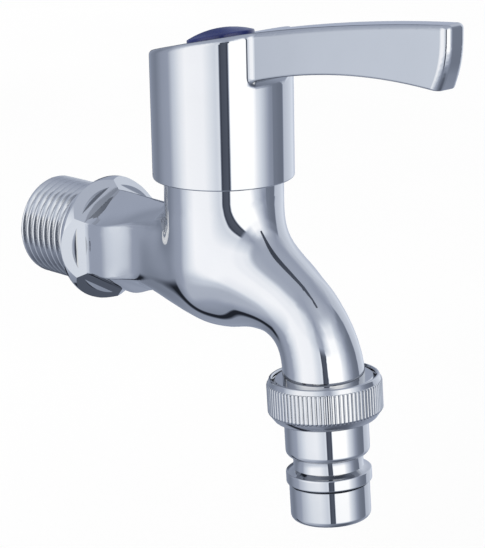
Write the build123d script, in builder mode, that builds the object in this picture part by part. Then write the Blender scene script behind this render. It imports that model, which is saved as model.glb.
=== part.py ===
"""Quarter-turn bib tap with a ceramic-disc headwork, a lever handle and a hose nozzle.

Millimetres. The origin is the centre of the inlet thread's end face, +X runs along the
inlet towards the spout and +Z is up. The valve axis stands on +Z at x = valve_x.
"""
import math
import os

from build123d import *

os.makedirs("parts", exist_ok=True)

# Clearances
run_gap = 0.05      # radial, between a turning or screwed piece and its hole
seat_gap = 0.02     # between a piece and the pocket or face that it is laid on
free_gap = 0.3      # around a turning piece that nothing guides

# Inlet thread G 1/2, shoulder rim and hexagon, one after the other along +X
inlet_r = 10.4775
inlet_thread_len = 14.6
inlet_bore_r = 6.6
rim_cone_len = 3.7
rim_r = 13.1
rim_len = 2.3
rim_back_in = 0.6
hex_shoulder_len = 0.9
hex_flats = 18.9
hex_corner = 0.35
step_r = 11.5
step_lead = 1.2

# Body casting
branch_len = 32.3
# Stations of the branch, each a share of its length and, as shares of half the hexagon's flats, the
# half width, upper corner, ridge, lower corner and keel of the six-sided section and its corner radius
branch_stations = ((0.0, 1.0, 0.577, 1.155, 0.577, 1.155, 0.037),
                   (0.13, 1.0, 0.577, 1.155, 0.577, 1.155, 0.037),
                   (0.25, 0.965, 0.64, 1.145, 0.55, 1.03, 0.06),
                   (0.36, 0.90, 0.72, 1.135, 0.50, 0.95, 0.12),
                   (0.48, 0.89, 0.80, 1.125, 0.47, 1.05, 0.19),
                   (0.62, 0.96, 0.86, 1.13, 0.54, 1.16, 0.28),
                   (0.88, 1.05, 0.88, 1.16, 0.62, 1.17, 0.42))
neck_r = 11.8
neck_top_z = 22.0
bulb_swell = 0.3
bulb_z = 0.4
low_bore_r = 4.2
low_bore_z = -2.6
low_bore_len = 20.8
seat_z = 4.5
seat_hole_r = 4.4
chamber_relief = 0.27
neck_thread_len = 7.5
ring_pocket_room = 0.1
root_fillet = 5.3
spout_fillet = 12.0

# Spout: a curved tube that ends on the outlet axis, measured from the valve axis
outlet_reach = 27.01
outlet_z = -15.0
outlet_tilt = 3.38
spout_start = (2.2, 1.5)
spout_pull = (18.2, -1.0)
spout_knee = 9.0
spout_root_r = 10.9
spout_quarter_r = 8.95
spout_mid_r = 7.6
spout_low_r = 7.55
spout_end_r = 8.0
spout_bore_r = 4.4
bore_start = (3.7, 8.6)
bore_pull = (10.2, 4.0)

# Outlet thread M20 x 1 and the hose union, one after the other down the outlet axis
collar_r = 10.0
collar_top = 1.7
collar_len = 4.5
collar_edge = 0.5
collar_bore_r = 5.5
washer_t = 1.5
washer_in = 1.0
union_collar_in = 0.7
union_collar_t = 1.2
nut_lead = 0.3
nut_wall = 1.25
nut_bevel = 1.05
nut_top_in = 0.6
nut_foot = 1.55
nut_foot_in = 1.15
nut_web_t = 0.95
knurl_depth = 0.2
knurl_count = 68
nozzle_r = 8.23
nozzle_len = 7.0
nozzle_edge = 0.5
waist_r = 6.85
waist_lead = 1.2
waist_len = 2.5
ring_r = 8.39
ring_lead = 0.7
ring_len = 2.2
tip_r = 7.88
tip_lead = 0.4
tip_len = 7.2
tip_round = 1.1
nozzle_bore_r = 5.0

# Headwork G 3/8, a quarter-turn ceramic cartridge
head_r = 8.33
head_flange_lap = 0.4
head_flange_t = 1.5
head_hex = 17.0
head_hex_t = 3.5
head_neck_r = 6.6
head_height = 7.5
head_wall = 0.8
head_low_gap = 0.5
head_shank_lead = 0.4
ring_section_r = 0.8
disc_r = 6.2
disc_t = 2.4
seal_t = 1.8
seal_w = 1.0
support_w = 0.6
support_t = 1.4
ear_w = 3.0
port_in = 1.7
port_hub_r = 1.5
port_angle = 76.0
window_angle = 84.0
window_h = 3.8
stem_r = 4.4
stem_head_in = 0.5
stem_head_t = 1.9
thrust_t = 0.5
drive_w = 2.4
drive_depth = 1.2
stem_ring_r = 0.75
stem_ring_drops = (1.5, 5.0)
clip_t = 0.7
clip_lap = 1.2
clip_groove = 0.9
spline_in = 0.45
spline_depth = 0.4
spline_teeth = 20

# Handle: skirt over the neck, boss with its insert, screw and button, and the lever
skirt_gap = 0.95
skirt_wall = 1.3
skirt_lap = 3.1
clip_room = 0.36
insert_len = 8.8
insert_wall = 2.05
boss_wall = 2.0
roof_t = 1.6
web_t = 1.4
screw_r = 2.5
screw_len = 9.0
screw_head_r = 4.4
screw_head_t = 2.7
screw_key = 4.0
screw_pocket_gap = 0.8
button_r = 6.7
button_seat = 0.25
button_lip = 0.3
button_edge = 0.5
button_rise = 1.9
button_plug_r = 4.8
button_plug_t = 1.6
top_cover = 2.86
lever_tip_x = 60.0
lever_rise = 8.79
lever_top_r = 400.0
lever_low_r = 121.0
lever_low_x = 44.5
lever_low_drop = 2.41
lever_root_w = 5.55
lever_tip_w = 2.7
lever_side_fillet = 2.0
lever_tip_fillet = 1.6
lever_end_r = 20.0
lever_end_lead = 3.0
lever_low_edge = 0.4
top_edge = 1.0
low_rim = 0.3

# Stations along the inlet
rim_x = inlet_thread_len + rim_cone_len
rim_back_x = rim_x + rim_len
rim_back_r = rim_r - rim_back_in
hex_x = rim_back_x + hex_shoulder_len
hex_half = hex_flats / 2
valve_x = hex_x + branch_len
low_bore_x = valve_x - low_bore_len
outlet_x = valve_x + outlet_reach

# Distances down the outlet axis
collar_end = collar_top + collar_len
washer_end = collar_end + washer_t
web_top = washer_end + union_collar_t
nut_top = collar_top - nut_lead
nut_end = web_top + nut_web_t
nozzle_end = web_top + nozzle_len
waist_start = nozzle_end + waist_lead
waist_end = waist_start + waist_len
ring_top = waist_end + ring_lead
ring_end = ring_top + ring_len
tip_start = ring_end + tip_lead
tip_end = tip_start + tip_len

# Radii that follow from what fits in or over them
bulb_r = neck_r + bulb_swell
chamber_r = head_r + chamber_relief
ring_pocket_r = head_r + 2 * ring_section_r + run_gap
ring_pocket_depth = 2 * ring_section_r + ring_pocket_room
head_flange_r = ring_pocket_r + head_flange_lap
head_low_r = disc_r + head_wall
seal_hole_r = disc_r - seal_w
support_hole_r = seal_hole_r - support_w
port_r = disc_r - port_in
stem_head_r = disc_r - stem_head_in
clip_r = stem_r + clip_lap
clip_groove_r = stem_r - clip_groove
spline_r = stem_r - spline_in
insert_r = spline_r + insert_wall
boss_r = insert_r + boss_wall
skirt_bore_r = neck_r + skirt_gap
handle_r = skirt_bore_r + skirt_wall
screw_pocket_r = screw_head_r + screw_pocket_gap
nut_r = collar_r + nut_wall
nut_top_r = nut_r - nut_top_in
nut_foot_r = nut_r - nut_foot_in
washer_r = collar_r - washer_in
union_collar_r = collar_r - union_collar_in

# Heights of the headwork and handle, from the neck's top up
chamber_top_z = neck_top_z - neck_thread_len
head_shank_z = chamber_top_z + head_shank_lead
head_top = neck_top_z + head_height
clip_z = head_top + seat_gap
skirt_top = clip_z + clip_t + seat_gap + clip_room
handle_low = neck_top_z - skirt_lap
web_z = skirt_top + insert_len
cavity_top = web_z - roof_t
spline_start = skirt_top - seat_gap
spline_top = web_z - seat_gap
lever_top_root = web_z + web_t + screw_head_t + top_cover
lever_top_tip = lever_top_root + lever_rise
lever_low_z = lever_top_root - lever_low_drop

# Direction and origin of the outlet axis
outlet_dir = Vector(math.sin(math.radians(outlet_tilt)), 0, -math.cos(math.radians(outlet_tilt)))
outlet_origin = Vector(outlet_x, 0, outlet_z)


def down(distance):
    """Point on the outlet axis, a distance down from its origin."""
    return outlet_origin + outlet_dir * distance


def outlet_axis_point(distance):
    """The same point in the plane of symmetry, as (x, z)."""
    return (down(distance).X, down(distance).Z)


def outlet_plane(distance):
    """Plane across the outlet axis, facing down it."""
    return Plane(origin=down(distance), x_dir=(0, 1, 0), z_dir=outlet_dir)


# Profile plane along the outlet axis: local x is the radius and local y is the distance down
outlet_profile = Plane(origin=outlet_origin, x_dir=(math.cos(math.radians(outlet_tilt)), 0,
                                                    math.sin(math.radians(outlet_tilt))),
                       z_dir=(0, 1, 0))
outlet_axis = Axis(outlet_origin, outlet_dir)
valve_axis = Axis((valve_x, 0, 0), (0, 0, 1))
valve_profile = Plane(origin=(valve_x, 0, 0), x_dir=(1, 0, 0), z_dir=(0, -1, 0))

# Heights of the stack inside the headwork, from the valve seat up
seal_top = seat_z + seal_t
fixed_top = seal_top + disc_t
moving_low = fixed_top + seat_gap
moving_top = moving_low + disc_t
stem_head_top = moving_top + stem_head_t
thrust_low = stem_head_top + seat_gap
thrust_top = thrust_low + thrust_t

# Lever top: one long arc through its heights at the valve axis and at the tip
chord = math.hypot(lever_tip_x, lever_top_tip - lever_top_root)
drop = math.sqrt(lever_top_r ** 2 - (chord / 2) ** 2)
top_centre = (lever_tip_x / 2 + (lever_top_tip - lever_top_root) / chord * drop,
              (lever_top_root + lever_top_tip) / 2 - lever_tip_x / chord * drop)
top_slope = math.atan(top_centre[0] / (lever_top_root - top_centre[1]))
button_plane = Plane(origin=(valve_x, 0, lever_top_root),
                     x_dir=(math.cos(top_slope), 0, math.sin(top_slope)),
                     z_dir=(-math.sin(top_slope), 0, math.cos(top_slope)))
button_profile = Plane(origin=button_plane.origin, x_dir=button_plane.x_dir, z_dir=(0, -1, 0))
button_axis = Axis(button_plane.origin, button_plane.z_dir)


def lever_top(x):
    """Height of the lever's top at a distance from the valve axis."""
    return top_centre[1] + math.sqrt(lever_top_r ** 2 - (x - top_centre[0]) ** 2)


def lever_low(x):
    """Height of the lever's underside at a distance from the valve axis."""
    return lever_low_z - lever_low_r + math.sqrt(lever_low_r ** 2 - (x - lever_low_x) ** 2)


def lever_half(x):
    """Half width of the lever in plan at a distance from the valve axis."""
    return lever_root_w + (lever_tip_w - lever_root_w) * x / lever_tip_x


def sector_outline(radius, centre_angle, width):
    """Closed pie slice from the axis out to a radius, drawn in the current line builder."""
    first = math.radians(centre_angle - width / 2)
    last = math.radians(centre_angle + width / 2)
    middle = math.radians(centre_angle)
    Line((0, 0), (radius * math.cos(first), radius * math.sin(first)))
    ThreePointArc((radius * math.cos(first), radius * math.sin(first)),
                  (radius * math.cos(middle), radius * math.sin(middle)),
                  (radius * math.cos(last), radius * math.sin(last)))
    Line((radius * math.cos(last), radius * math.sin(last)), (0, 0))


def tooth_outline(count, tip, root, land):
    """Closed outline of a ring of pointed grooves between flat lands, drawn in the current line builder."""
    step = 2 * math.pi / count
    corners = []
    for tooth in range(count):
        for radius, shift in ((root, -0.5), (tip, -land / 2), (tip, land / 2)):
            angle = step * (tooth + shift)
            corners.append((radius * math.cos(angle), radius * math.sin(angle)))
    Polyline(*corners, close=True)


def flat_plane(index):
    """Plane through the inlet axis for one of the six flats: local y points across that flat."""
    turn = math.radians(60 * index)
    return Plane(origin=(0, 0, 0), x_dir=(1, 0, 0), z_dir=(0, math.sin(turn), math.cos(turn)))


# Body: one casting with the threaded inlet, shoulder rim, hexagon, valve bulb, neck and spout
with BuildPart() as body:
    # Hexagon that the wrench holds
    with BuildSketch(Plane.YZ.offset(rim_x)):
        RegularPolygon(radius=hex_half, side_count=6, major_radius=False, rotation=30)
        fillet(vertices(), hex_corner)
    extrude(amount=hex_x - rim_x)
    # Threaded inlet and shoulder rim, turned round the inlet axis
    with BuildSketch(Plane.XZ):
        with BuildLine():
            Polyline((0, 0), (0, inlet_r),
                     (inlet_thread_len, inlet_r), (rim_x - 0.5, rim_r), (rim_x, rim_r),
                     (rim_back_x, rim_back_r), (hex_x, rim_back_r), (hex_x, 0), (0, 0))
        make_face()
    revolve(axis=Axis.X)
    # The back of the rim slopes down to the hexagon in six facets
    reach = rim_r + 2 - hex_half
    for side in range(6):
        with BuildSketch(flat_plane(side)):
            with BuildLine():
                Polyline((hex_x, hex_half), (hex_x, rim_r + 2), (hex_x - reach, rim_r + 2), close=True)
            make_face()
        extrude(amount=rim_r, both=True, mode=Mode.SUBTRACT)
    # A turned ring inside the rim shows in the middle of each facet as a lens-shaped step
    with BuildSketch(Plane.YZ.offset(rim_x)):
        Circle(step_r)
    extrude(amount=hex_x - step_lead - rim_x)
    # Branch from the hexagon to the bulb: the flats draw in to a waist, then swell and soften
    for share, half_width, upper, ridge, lower, keel, corner in branch_stations:
        with BuildSketch(Plane.YZ.offset(hex_x + share * (valve_x - hex_x))):
            with BuildLine():
                Polyline((half_width * hex_half, -lower * hex_half), (half_width * hex_half, upper * hex_half),
                         (0, ridge * hex_half), (-half_width * hex_half, upper * hex_half),
                         (-half_width * hex_half, -lower * hex_half), (0, -keel * hex_half), close=True)
            make_face()
            fillet(vertices(), corner * hex_half)
    loft()
    # Neck and bulb, turned round the valve axis
    with BuildSketch(valve_profile):
        with BuildLine():
            Polyline((0, bulb_z - bulb_r), (0, neck_top_z), (neck_r, neck_top_z), (bulb_r, bulb_z))
            CenterArc((0, bulb_z), bulb_r, 270, 90)
        make_face()
    revolve(axis=valve_axis)
    # Fillet between the branch and the bulb
    joint = body.edges(Select.LAST).filter_by(lambda e: valve_x - 0.4 * branch_len < e.center().X < valve_x - 3
                                              and e.center().Z < neck_top_z - 1)
    fillet(joint, root_fillet)
    # Spout: a round tube bending from the bulb down to the outlet axis
    knee = outlet_axis_point(-spout_knee)
    mouth = outlet_axis_point(collar_top + 0.5)
    with BuildLine(Plane.XZ) as spout_line:
        Bezier((valve_x + spout_start[0], spout_start[1]), (valve_x + spout_pull[0], spout_pull[1]),
               knee, mouth)
    stations = ((0, spout_root_r), (0.25, spout_quarter_r), (0.5, spout_mid_r), (0.75, spout_low_r),
                (1, spout_end_r))
    for place, radius in stations:
        station = Plane(origin=spout_line.line @ place, x_dir=(0, 1, 0), z_dir=spout_line.line % place)
        with BuildSketch(station):
            Circle(radius)
    sweep(path=spout_line.line, multisection=True)
    # Fillet between the spout and the bulb and neck
    joint = body.edges(Select.LAST).filter_by(lambda e: e.center().X > valve_x + 2
                                              and e.center().Z > -spout_root_r - 2
                                              and e.center().Z < neck_top_z - 1
                                              and e.length > neck_r)
    fillet(joint, spout_fillet)
    # Threaded collar that the union nut screws on
    with BuildSketch(outlet_profile):
        with BuildLine():
            Polyline((0, collar_top), (collar_r - collar_edge, collar_top),
                     (collar_r, collar_top + collar_edge), (collar_r, collar_end - collar_edge),
                     (collar_r - collar_edge, collar_end), (0, collar_end), close=True)
        make_face()
    revolve(axis=outlet_axis)
    # Inlet bore, then the lower passage that ends under the valve seat
    with BuildSketch(Plane.YZ):
        Circle(inlet_bore_r)
    extrude(amount=low_bore_x + 1, mode=Mode.SUBTRACT)
    with BuildSketch(Plane.YZ.offset(low_bore_x)):
        with Locations((0, low_bore_z)):
            Circle(low_bore_r)
    extrude(amount=valve_x - low_bore_x, mode=Mode.SUBTRACT)
    with Locations((valve_x, 0, low_bore_z)):
        Sphere(low_bore_r, mode=Mode.SUBTRACT)
    # Seat hole, valve chamber and the tapped hole of the headwork with its ring pocket
    with BuildSketch(valve_profile):
        with BuildLine():
            Polyline((0, low_bore_z), (seat_hole_r, low_bore_z), (seat_hole_r, seat_z),
                     (chamber_r, seat_z), (chamber_r, chamber_top_z),
                     (head_r + run_gap, chamber_top_z), (head_r + run_gap, neck_top_z - ring_pocket_depth),
                     (ring_pocket_r, neck_top_z - ring_pocket_depth), (ring_pocket_r, neck_top_z),
                     (0, neck_top_z), close=True)
        make_face()
    revolve(axis=valve_axis, mode=Mode.SUBTRACT)
    # Spout bore, from the side of the chamber down to the mouth
    with BuildLine(Plane.XZ) as bore_line:
        Bezier((valve_x + bore_start[0], bore_start[1]), (valve_x + bore_pull[0], bore_pull[1]), knee,
               outlet_axis_point(collar_top))
    with BuildSketch(Plane(origin=bore_line.line @ 0, x_dir=(0, 1, 0), z_dir=bore_line.line % 0)):
        Circle(spout_bore_r)
    sweep(path=bore_line.line, mode=Mode.SUBTRACT)
    with BuildSketch(outlet_plane(collar_top)):
        Circle(collar_bore_r)
    extrude(amount=collar_end - collar_top, mode=Mode.SUBTRACT)

body.part.label = "body"
export_step(body.part, "parts/body.step")

# Headwork housing: turned brass, with the hexagon above the neck and two side windows below
with BuildPart() as headwork_housing:
    with BuildSketch(valve_profile):
        with BuildLine():
            Polyline((disc_r + seat_gap, seat_z + head_low_gap), (head_low_r, seat_z + head_low_gap),
                     (head_low_r, head_shank_z), (head_r, head_shank_z), (head_r, neck_top_z),
                     (head_flange_r, neck_top_z), (head_flange_r, neck_top_z + head_flange_t),
                     (head_neck_r, neck_top_z + head_flange_t), (head_neck_r, head_top),
                     (stem_r + run_gap, head_top), (stem_r + run_gap, thrust_top),
                     (disc_r + seat_gap, thrust_top), close=True)
        make_face()
    revolve(axis=valve_axis)
    with BuildSketch(Plane((valve_x, 0, seat_z))):
        Rectangle(ear_w + 2 * seat_gap, 3 * head_low_r)
    extrude(amount=fixed_top - seat_z, mode=Mode.SUBTRACT)
    with BuildSketch(Plane((valve_x, 0, neck_top_z + head_flange_t))):
        RegularPolygon(radius=head_hex / 2, side_count=6, major_radius=False)
        Circle(stem_r + run_gap, mode=Mode.SUBTRACT)
    extrude(amount=head_hex_t)
    with BuildSketch(Plane((valve_x, 0, fixed_top))):
        for turn in (0, 180):
            with BuildLine():
                sector_outline(2 * head_low_r, turn, window_angle)
            make_face()
    extrude(amount=window_h, mode=Mode.SUBTRACT)
headwork_housing.part.label = "headwork_housing"
export_step(headwork_housing.part, "parts/headwork_housing.step")

# Sealing ring under the headwork's flange
with BuildPart() as housing_o_ring:
    with Locations((valve_x, 0, neck_top_z - ring_pocket_depth / 2)):
        Torus(head_r + seat_gap + ring_section_r, ring_section_r)
housing_o_ring.part.label = "housing_o_ring"
export_step(housing_o_ring.part, "parts/housing_o_ring.step")

# Rubber seal between the valve seat and the fixed disc
with BuildPart() as seat_seal:
    with BuildSketch(Plane((valve_x, 0, seat_z))):
        Circle(disc_r - seat_gap)
        Circle(seal_hole_r, mode=Mode.SUBTRACT)
    extrude(amount=seal_t)
seat_seal.part.label = "seat_seal"
export_step(seat_seal.part, "parts/seat_seal.step")

# Stiff ring that keeps the seal round
with BuildPart() as seal_support_ring:
    with BuildSketch(Plane((valve_x, 0, seal_top - support_t))):
        Circle(seal_hole_r - seat_gap)
        Circle(support_hole_r, mode=Mode.SUBTRACT)
    extrude(amount=support_t)
seal_support_ring.part.label = "seal_support_ring"
export_step(seal_support_ring.part, "parts/seal_support_ring.step")

# Fixed ceramic disc: two ports over the seat hole, and two ears held in the housing's notches
with BuildPart() as fixed_disc:
    with BuildSketch(Plane((valve_x, 0, seal_top))):
        Circle(disc_r)
        Rectangle(ear_w, 2 * head_low_r)
        for turn in (0, 180):
            with BuildLine():
                sector_outline(port_r, turn, port_angle)
            make_face(mode=Mode.SUBTRACT)
        Circle(port_hub_r)
    extrude(amount=disc_t)
fixed_disc.part.label = "fixed_disc"
export_step(fixed_disc.part, "parts/fixed_disc.step")

# Moving ceramic disc: two wings that cover the ports, and a slot for the spindle's blade
with BuildPart() as moving_disc:
    with BuildSketch(Plane((valve_x, 0, moving_low))):
        Circle(disc_r - free_gap)
        for turn in (90, 270):
            with BuildLine():
                sector_outline(2 * disc_r, turn, port_angle)
            make_face(mode=Mode.SUBTRACT)
        Circle(port_hub_r)
    extrude(amount=disc_t)
    with BuildSketch(Plane((valve_x, 0, moving_top))):
        Rectangle(3 * disc_r, drive_w)
    extrude(amount=-drive_depth, mode=Mode.SUBTRACT)
moving_disc.part.label = "moving_disc"
export_step(moving_disc.part, "parts/moving_disc.step")

# Slip washer between the spindle's head and the housing
with BuildPart() as thrust_washer:
    with BuildSketch(Plane((valve_x, 0, thrust_low))):
        Circle(disc_r - seat_gap)
        Circle(stem_r + free_gap, mode=Mode.SUBTRACT)
    extrude(amount=thrust_t)
thrust_washer.part.label = "thrust_washer"
export_step(thrust_washer.part, "parts/thrust_washer.step")

# Spindle: blade and head below, two ring grooves, the clip groove and the toothed end above
with BuildPart() as spindle:
    with BuildSketch(valve_profile):
        with BuildLine():
            Polyline((0, moving_top), (stem_head_r, moving_top), (stem_head_r, stem_head_top),
                     (stem_r, stem_head_top), (stem_r, clip_z), (clip_groove_r, clip_z),
                     (clip_groove_r, clip_z + clip_t + seat_gap), (stem_r, clip_z + clip_t + seat_gap),
                     (stem_r, spline_start), (0, spline_start), close=True)
        make_face()
    revolve(axis=valve_axis)
    with BuildSketch(Plane((valve_x, 0, spline_start))):
        with BuildLine():
            tooth_outline(spline_teeth, spline_r, spline_r - spline_depth, 0.3)
        make_face()
    extrude(amount=spline_top - spline_start)
    with BuildSketch(Plane((valve_x, 0, moving_top))):
        Rectangle(2 * stem_head_r - 1, drive_w - 2 * run_gap)
    extrude(amount=-(drive_depth - run_gap))
    for ring_drop in stem_ring_drops:
        with BuildSketch(valve_profile):
            with Locations((stem_r, neck_top_z - ring_drop)):
                Rectangle(4 * stem_ring_r + 2 * seat_gap, 2 * stem_ring_r + 0.3)
        revolve(axis=valve_axis, mode=Mode.SUBTRACT)
    with BuildSketch(Plane((valve_x, 0, spline_top))):
        Circle(screw_r + seat_gap)
    extrude(amount=-(screw_len - web_t + 1), mode=Mode.SUBTRACT)
spindle.part.label = "spindle"
export_step(spindle.part, "parts/spindle.step")

# Two rings in the spindle's grooves
with BuildPart() as spindle_o_rings:
    for ring_drop in stem_ring_drops:
        with Locations((valve_x, 0, neck_top_z - ring_drop)):
            Torus(stem_r - stem_ring_r, stem_ring_r)
spindle_o_rings.part.label = "spindle_o_rings"
export_step(spindle_o_rings.part, "parts/spindle_o_rings.step")

# Open clip that keeps the spindle from dropping through the housing
with BuildPart() as retaining_clip:
    with BuildSketch(Plane((valve_x, 0, clip_z + seat_gap / 2))):
        Circle(clip_r)
        Circle(clip_groove_r + seat_gap, mode=Mode.SUBTRACT)
        with Locations((0, -clip_r)):
            Rectangle(clip_groove_r, 2 * clip_r - 2, mode=Mode.SUBTRACT)
    extrude(amount=clip_t)
retaining_clip.part.label = "retaining_clip"
export_step(retaining_clip.part, "parts/retaining_clip.step")

# Handle: a cap over the neck with a lever that points over the spout
with BuildPart() as handle:
    lever_base = lever_low(0) - 1.5
    with BuildSketch(Plane((valve_x, 0, lever_base))):
        with BuildLine():
            Polyline((0, -lever_half(0)), (lever_tip_x, -lever_tip_w), (lever_tip_x, lever_tip_w),
                     (0, lever_half(0)), close=True)
        make_face()
    extrude(amount=2 * lever_top_tip)
    # The lever's end curves back under the tip, and its corners are well rounded
    end_z = lever_top_tip - lever_end_lead
    end_turn = math.asin((end_z - lever_base) / lever_end_r)
    end_low = lever_tip_x - lever_end_r * (1 - math.cos(end_turn))
    with BuildSketch(valve_profile):
        with BuildLine():
            CenterArc((lever_tip_x - lever_end_r, end_z), lever_end_r, -math.degrees(end_turn),
                      math.degrees(end_turn))
            Polyline((lever_tip_x, end_z), (lever_tip_x + 1, end_z), (lever_tip_x + 1, lever_base - 1),
                     (end_low, lever_base - 1), (end_low, lever_base))
        make_face()
    extrude(amount=handle_r, both=True, mode=Mode.SUBTRACT)
    fillet(handle.edges().filter_by(lambda e: e.center().X > valve_x + end_low and e.length > lever_end_lead
                                    and abs(e.center().Y) > lever_tip_w / 2), lever_tip_fillet)
    with BuildSketch(valve_profile):
        with BuildLine():
            far = lever_tip_x + 5
            RadiusArc((0, lever_low(0)), (far, lever_low(far)), lever_low_r)
            Polyline((far, lever_low(far)), (far, 0), (0, 0), (0, lever_low(0)))
        make_face()
    extrude(amount=handle_r, both=True, mode=Mode.SUBTRACT)
    fillet(handle.faces().sort_by(Axis.Z)[0].edges(), lever_low_edge)
    with BuildSketch(Plane((valve_x, 0, handle_low))):
        Circle(handle_r)
    extrude(amount=2 * lever_top_tip)
    root_x = valve_x + math.sqrt(handle_r ** 2 - lever_root_w ** 2)
    root = handle.edges().filter_by(lambda e: abs(e.center().X - root_x) < 2
                                    and abs(e.center().Y) < lever_root_w
                                    and e.center().Z > lever_low(handle_r) - 1)
    fillet(root, lever_side_fillet)
    with BuildSketch(valve_profile):
        with BuildLine():
            near = -handle_r - 5
            RadiusArc((near, lever_top(near)), (far, lever_top(far)), lever_top_r)
            Polyline((far, lever_top(far)), (far, 3 * lever_top_tip), (near, 3 * lever_top_tip),
                     (near, lever_top(near)))
        make_face()
    extrude(amount=2 * handle_r, both=True, mode=Mode.SUBTRACT)
    top_face = handle.faces().sort_by(Axis.Z)[-1]
    fillet(top_face.edges(), top_edge)
    fillet(handle.edges().filter_by(lambda e: abs(e.center().Z - handle_low) < 0.01), low_rim)
    with BuildSketch(valve_profile):
        with BuildLine():
            Polyline((0, handle_low - 1), (skirt_bore_r, handle_low - 1), (skirt_bore_r, cavity_top),
                     (boss_r, cavity_top), (boss_r, skirt_top), (0, skirt_top), close=True)
        make_face()
    revolve(axis=valve_axis, mode=Mode.SUBTRACT)
    with BuildSketch(Plane((valve_x, 0, skirt_top))):
        Circle(insert_r + seat_gap)
    extrude(amount=web_z - skirt_top, mode=Mode.SUBTRACT)
    with BuildSketch(Plane((valve_x, 0, web_z))):
        Circle(screw_r + free_gap)
    extrude(amount=web_t, mode=Mode.SUBTRACT)
    with BuildSketch(Plane((valve_x, 0, web_z + web_t))):
        Circle(screw_pocket_r)
    extrude(amount=lever_top_tip, mode=Mode.SUBTRACT)
    with BuildSketch(button_plane.offset(-button_seat)):
        Circle(button_r + seat_gap)
    extrude(amount=lever_top_tip, mode=Mode.SUBTRACT)
handle.part.label = "handle"
export_step(handle.part, "parts/handle.step")

# Toothed plastic insert that grips the spindle inside the handle's boss
with BuildPart() as handle_insert:
    with BuildSketch(Plane((valve_x, 0, skirt_top))):
        Circle(insert_r)
        with BuildLine():
            tooth_outline(spline_teeth, spline_r + seat_gap, spline_r - spline_depth + seat_gap, 0.3)
        make_face(mode=Mode.SUBTRACT)
    extrude(amount=web_z - skirt_top)
handle_insert.part.label = "handle_insert"
export_step(handle_insert.part, "parts/handle_insert.step")

# Handle screw under the button, with a hexagon socket
with BuildPart() as handle_screw:
    with BuildSketch(Plane((valve_x, 0, web_z + web_t))):
        Circle(screw_head_r)
    extrude(amount=screw_head_t)
    chamfer(handle_screw.faces().sort_by(Axis.Z)[-1].edges(), button_lip)
    with BuildSketch(Plane((valve_x, 0, web_z + web_t + screw_head_t))):
        RegularPolygon(radius=screw_key / 2, side_count=6, major_radius=False)
    extrude(amount=-screw_head_t * 0.6, mode=Mode.SUBTRACT)
    with BuildSketch(Plane((valve_x, 0, web_z + web_t))):
        Circle(screw_r)
    extrude(amount=-screw_len)
handle_screw.part.label = "handle_screw"
export_step(handle_screw.part, "parts/handle_screw.step")

# Blue index button, pressed into the handle's top square to its slope
with BuildPart() as index_button:
    with BuildSketch(button_profile):
        with BuildLine():
            Polyline((0, button_rise), (0, -button_plug_t), (button_plug_r, -button_plug_t),
                     (button_plug_r, -button_seat), (button_r, -button_seat), (button_r, button_edge))
            ThreePointArc((button_r, button_edge),
                          (button_r / 2, button_edge + 0.75 * (button_rise - button_edge)), (0, button_rise))
        make_face()
    revolve(axis=button_axis)
    fillet(index_button.edges().filter_by(lambda e: e.is_closed and e.radius > button_r - button_lip)
           .sort_by(button_axis)[-1], button_lip)
index_button.part.label = "index_button"
export_step(index_button.part, "parts/index_button.step")

# Washer between the spout's collar and the nozzle
with BuildPart() as outlet_washer:
    with BuildSketch(outlet_plane(collar_end)):
        Circle(washer_r)
        Circle(collar_bore_r, mode=Mode.SUBTRACT)
    extrude(amount=washer_t)
outlet_washer.part.label = "outlet_washer"
export_step(outlet_washer.part, "parts/outlet_washer.step")

# Union nut: bevelled above and below, finely knurled between, with a web under the nozzle's collar
with BuildPart() as coupling_nut:
    with BuildSketch(outlet_profile):
        with BuildLine():
            Polyline((collar_r + run_gap, nut_top), (nut_top_r, nut_top), (nut_r, nut_top + nut_bevel),
                     (nut_r, nut_end - nut_foot), (nut_foot_r, nut_end), (nozzle_r + free_gap, nut_end),
                     (nozzle_r + free_gap, web_top), (collar_r + run_gap, web_top), close=True)
        make_face()
    revolve(axis=outlet_axis)
    with BuildSketch(outlet_plane(nut_top)):
        Circle(nut_r + 1)
        with BuildLine():
            tooth_outline(knurl_count, nut_r, nut_r - knurl_depth, 0.4)
        make_face(mode=Mode.SUBTRACT)
    extrude(amount=nut_end - nut_top, mode=Mode.SUBTRACT)
coupling_nut.part.label = "coupling_nut"
export_step(coupling_nut.part, "parts/coupling_nut.step")

# Hose nozzle: collar under the washer, waist, retaining ring and rounded tip
with BuildPart() as hose_nozzle:
    with BuildSketch(outlet_profile):
        with BuildLine():
            Polyline((nozzle_bore_r, tip_end), (nozzle_bore_r, washer_end), (union_collar_r, washer_end),
                     (union_collar_r, web_top), (nozzle_r, web_top), (nozzle_r, nozzle_end),
                     (nozzle_r - nozzle_edge, nozzle_end + nozzle_edge / 2))
            RadiusArc((nozzle_r - nozzle_edge, nozzle_end + nozzle_edge / 2), (waist_r, waist_start),
                      waist_lead)
            Polyline((waist_r, waist_start), (waist_r, waist_end), (ring_r - nozzle_edge, ring_top - 0.1),
                     (ring_r, ring_top + nozzle_edge / 2), (ring_r, ring_end - nozzle_edge / 2),
                     (tip_r - nozzle_edge / 2, ring_end), (tip_r, tip_start), (tip_r, tip_end - tip_round))
            RadiusArc((tip_r, tip_end - tip_round), (tip_r - tip_round, tip_end), tip_round)
            Line((tip_r - tip_round, tip_end), (nozzle_bore_r, tip_end))
        make_face()
    revolve(axis=outlet_axis)
hose_nozzle.part.label = "hose_nozzle"
export_step(hose_nozzle.part, "parts/hose_nozzle.step")
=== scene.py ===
from math import cos, hypot, pi, radians, sin

import bmesh
import bpy
from mathutils import Matrix, Vector
from mathutils.bvhtree import BVHTree


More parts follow.
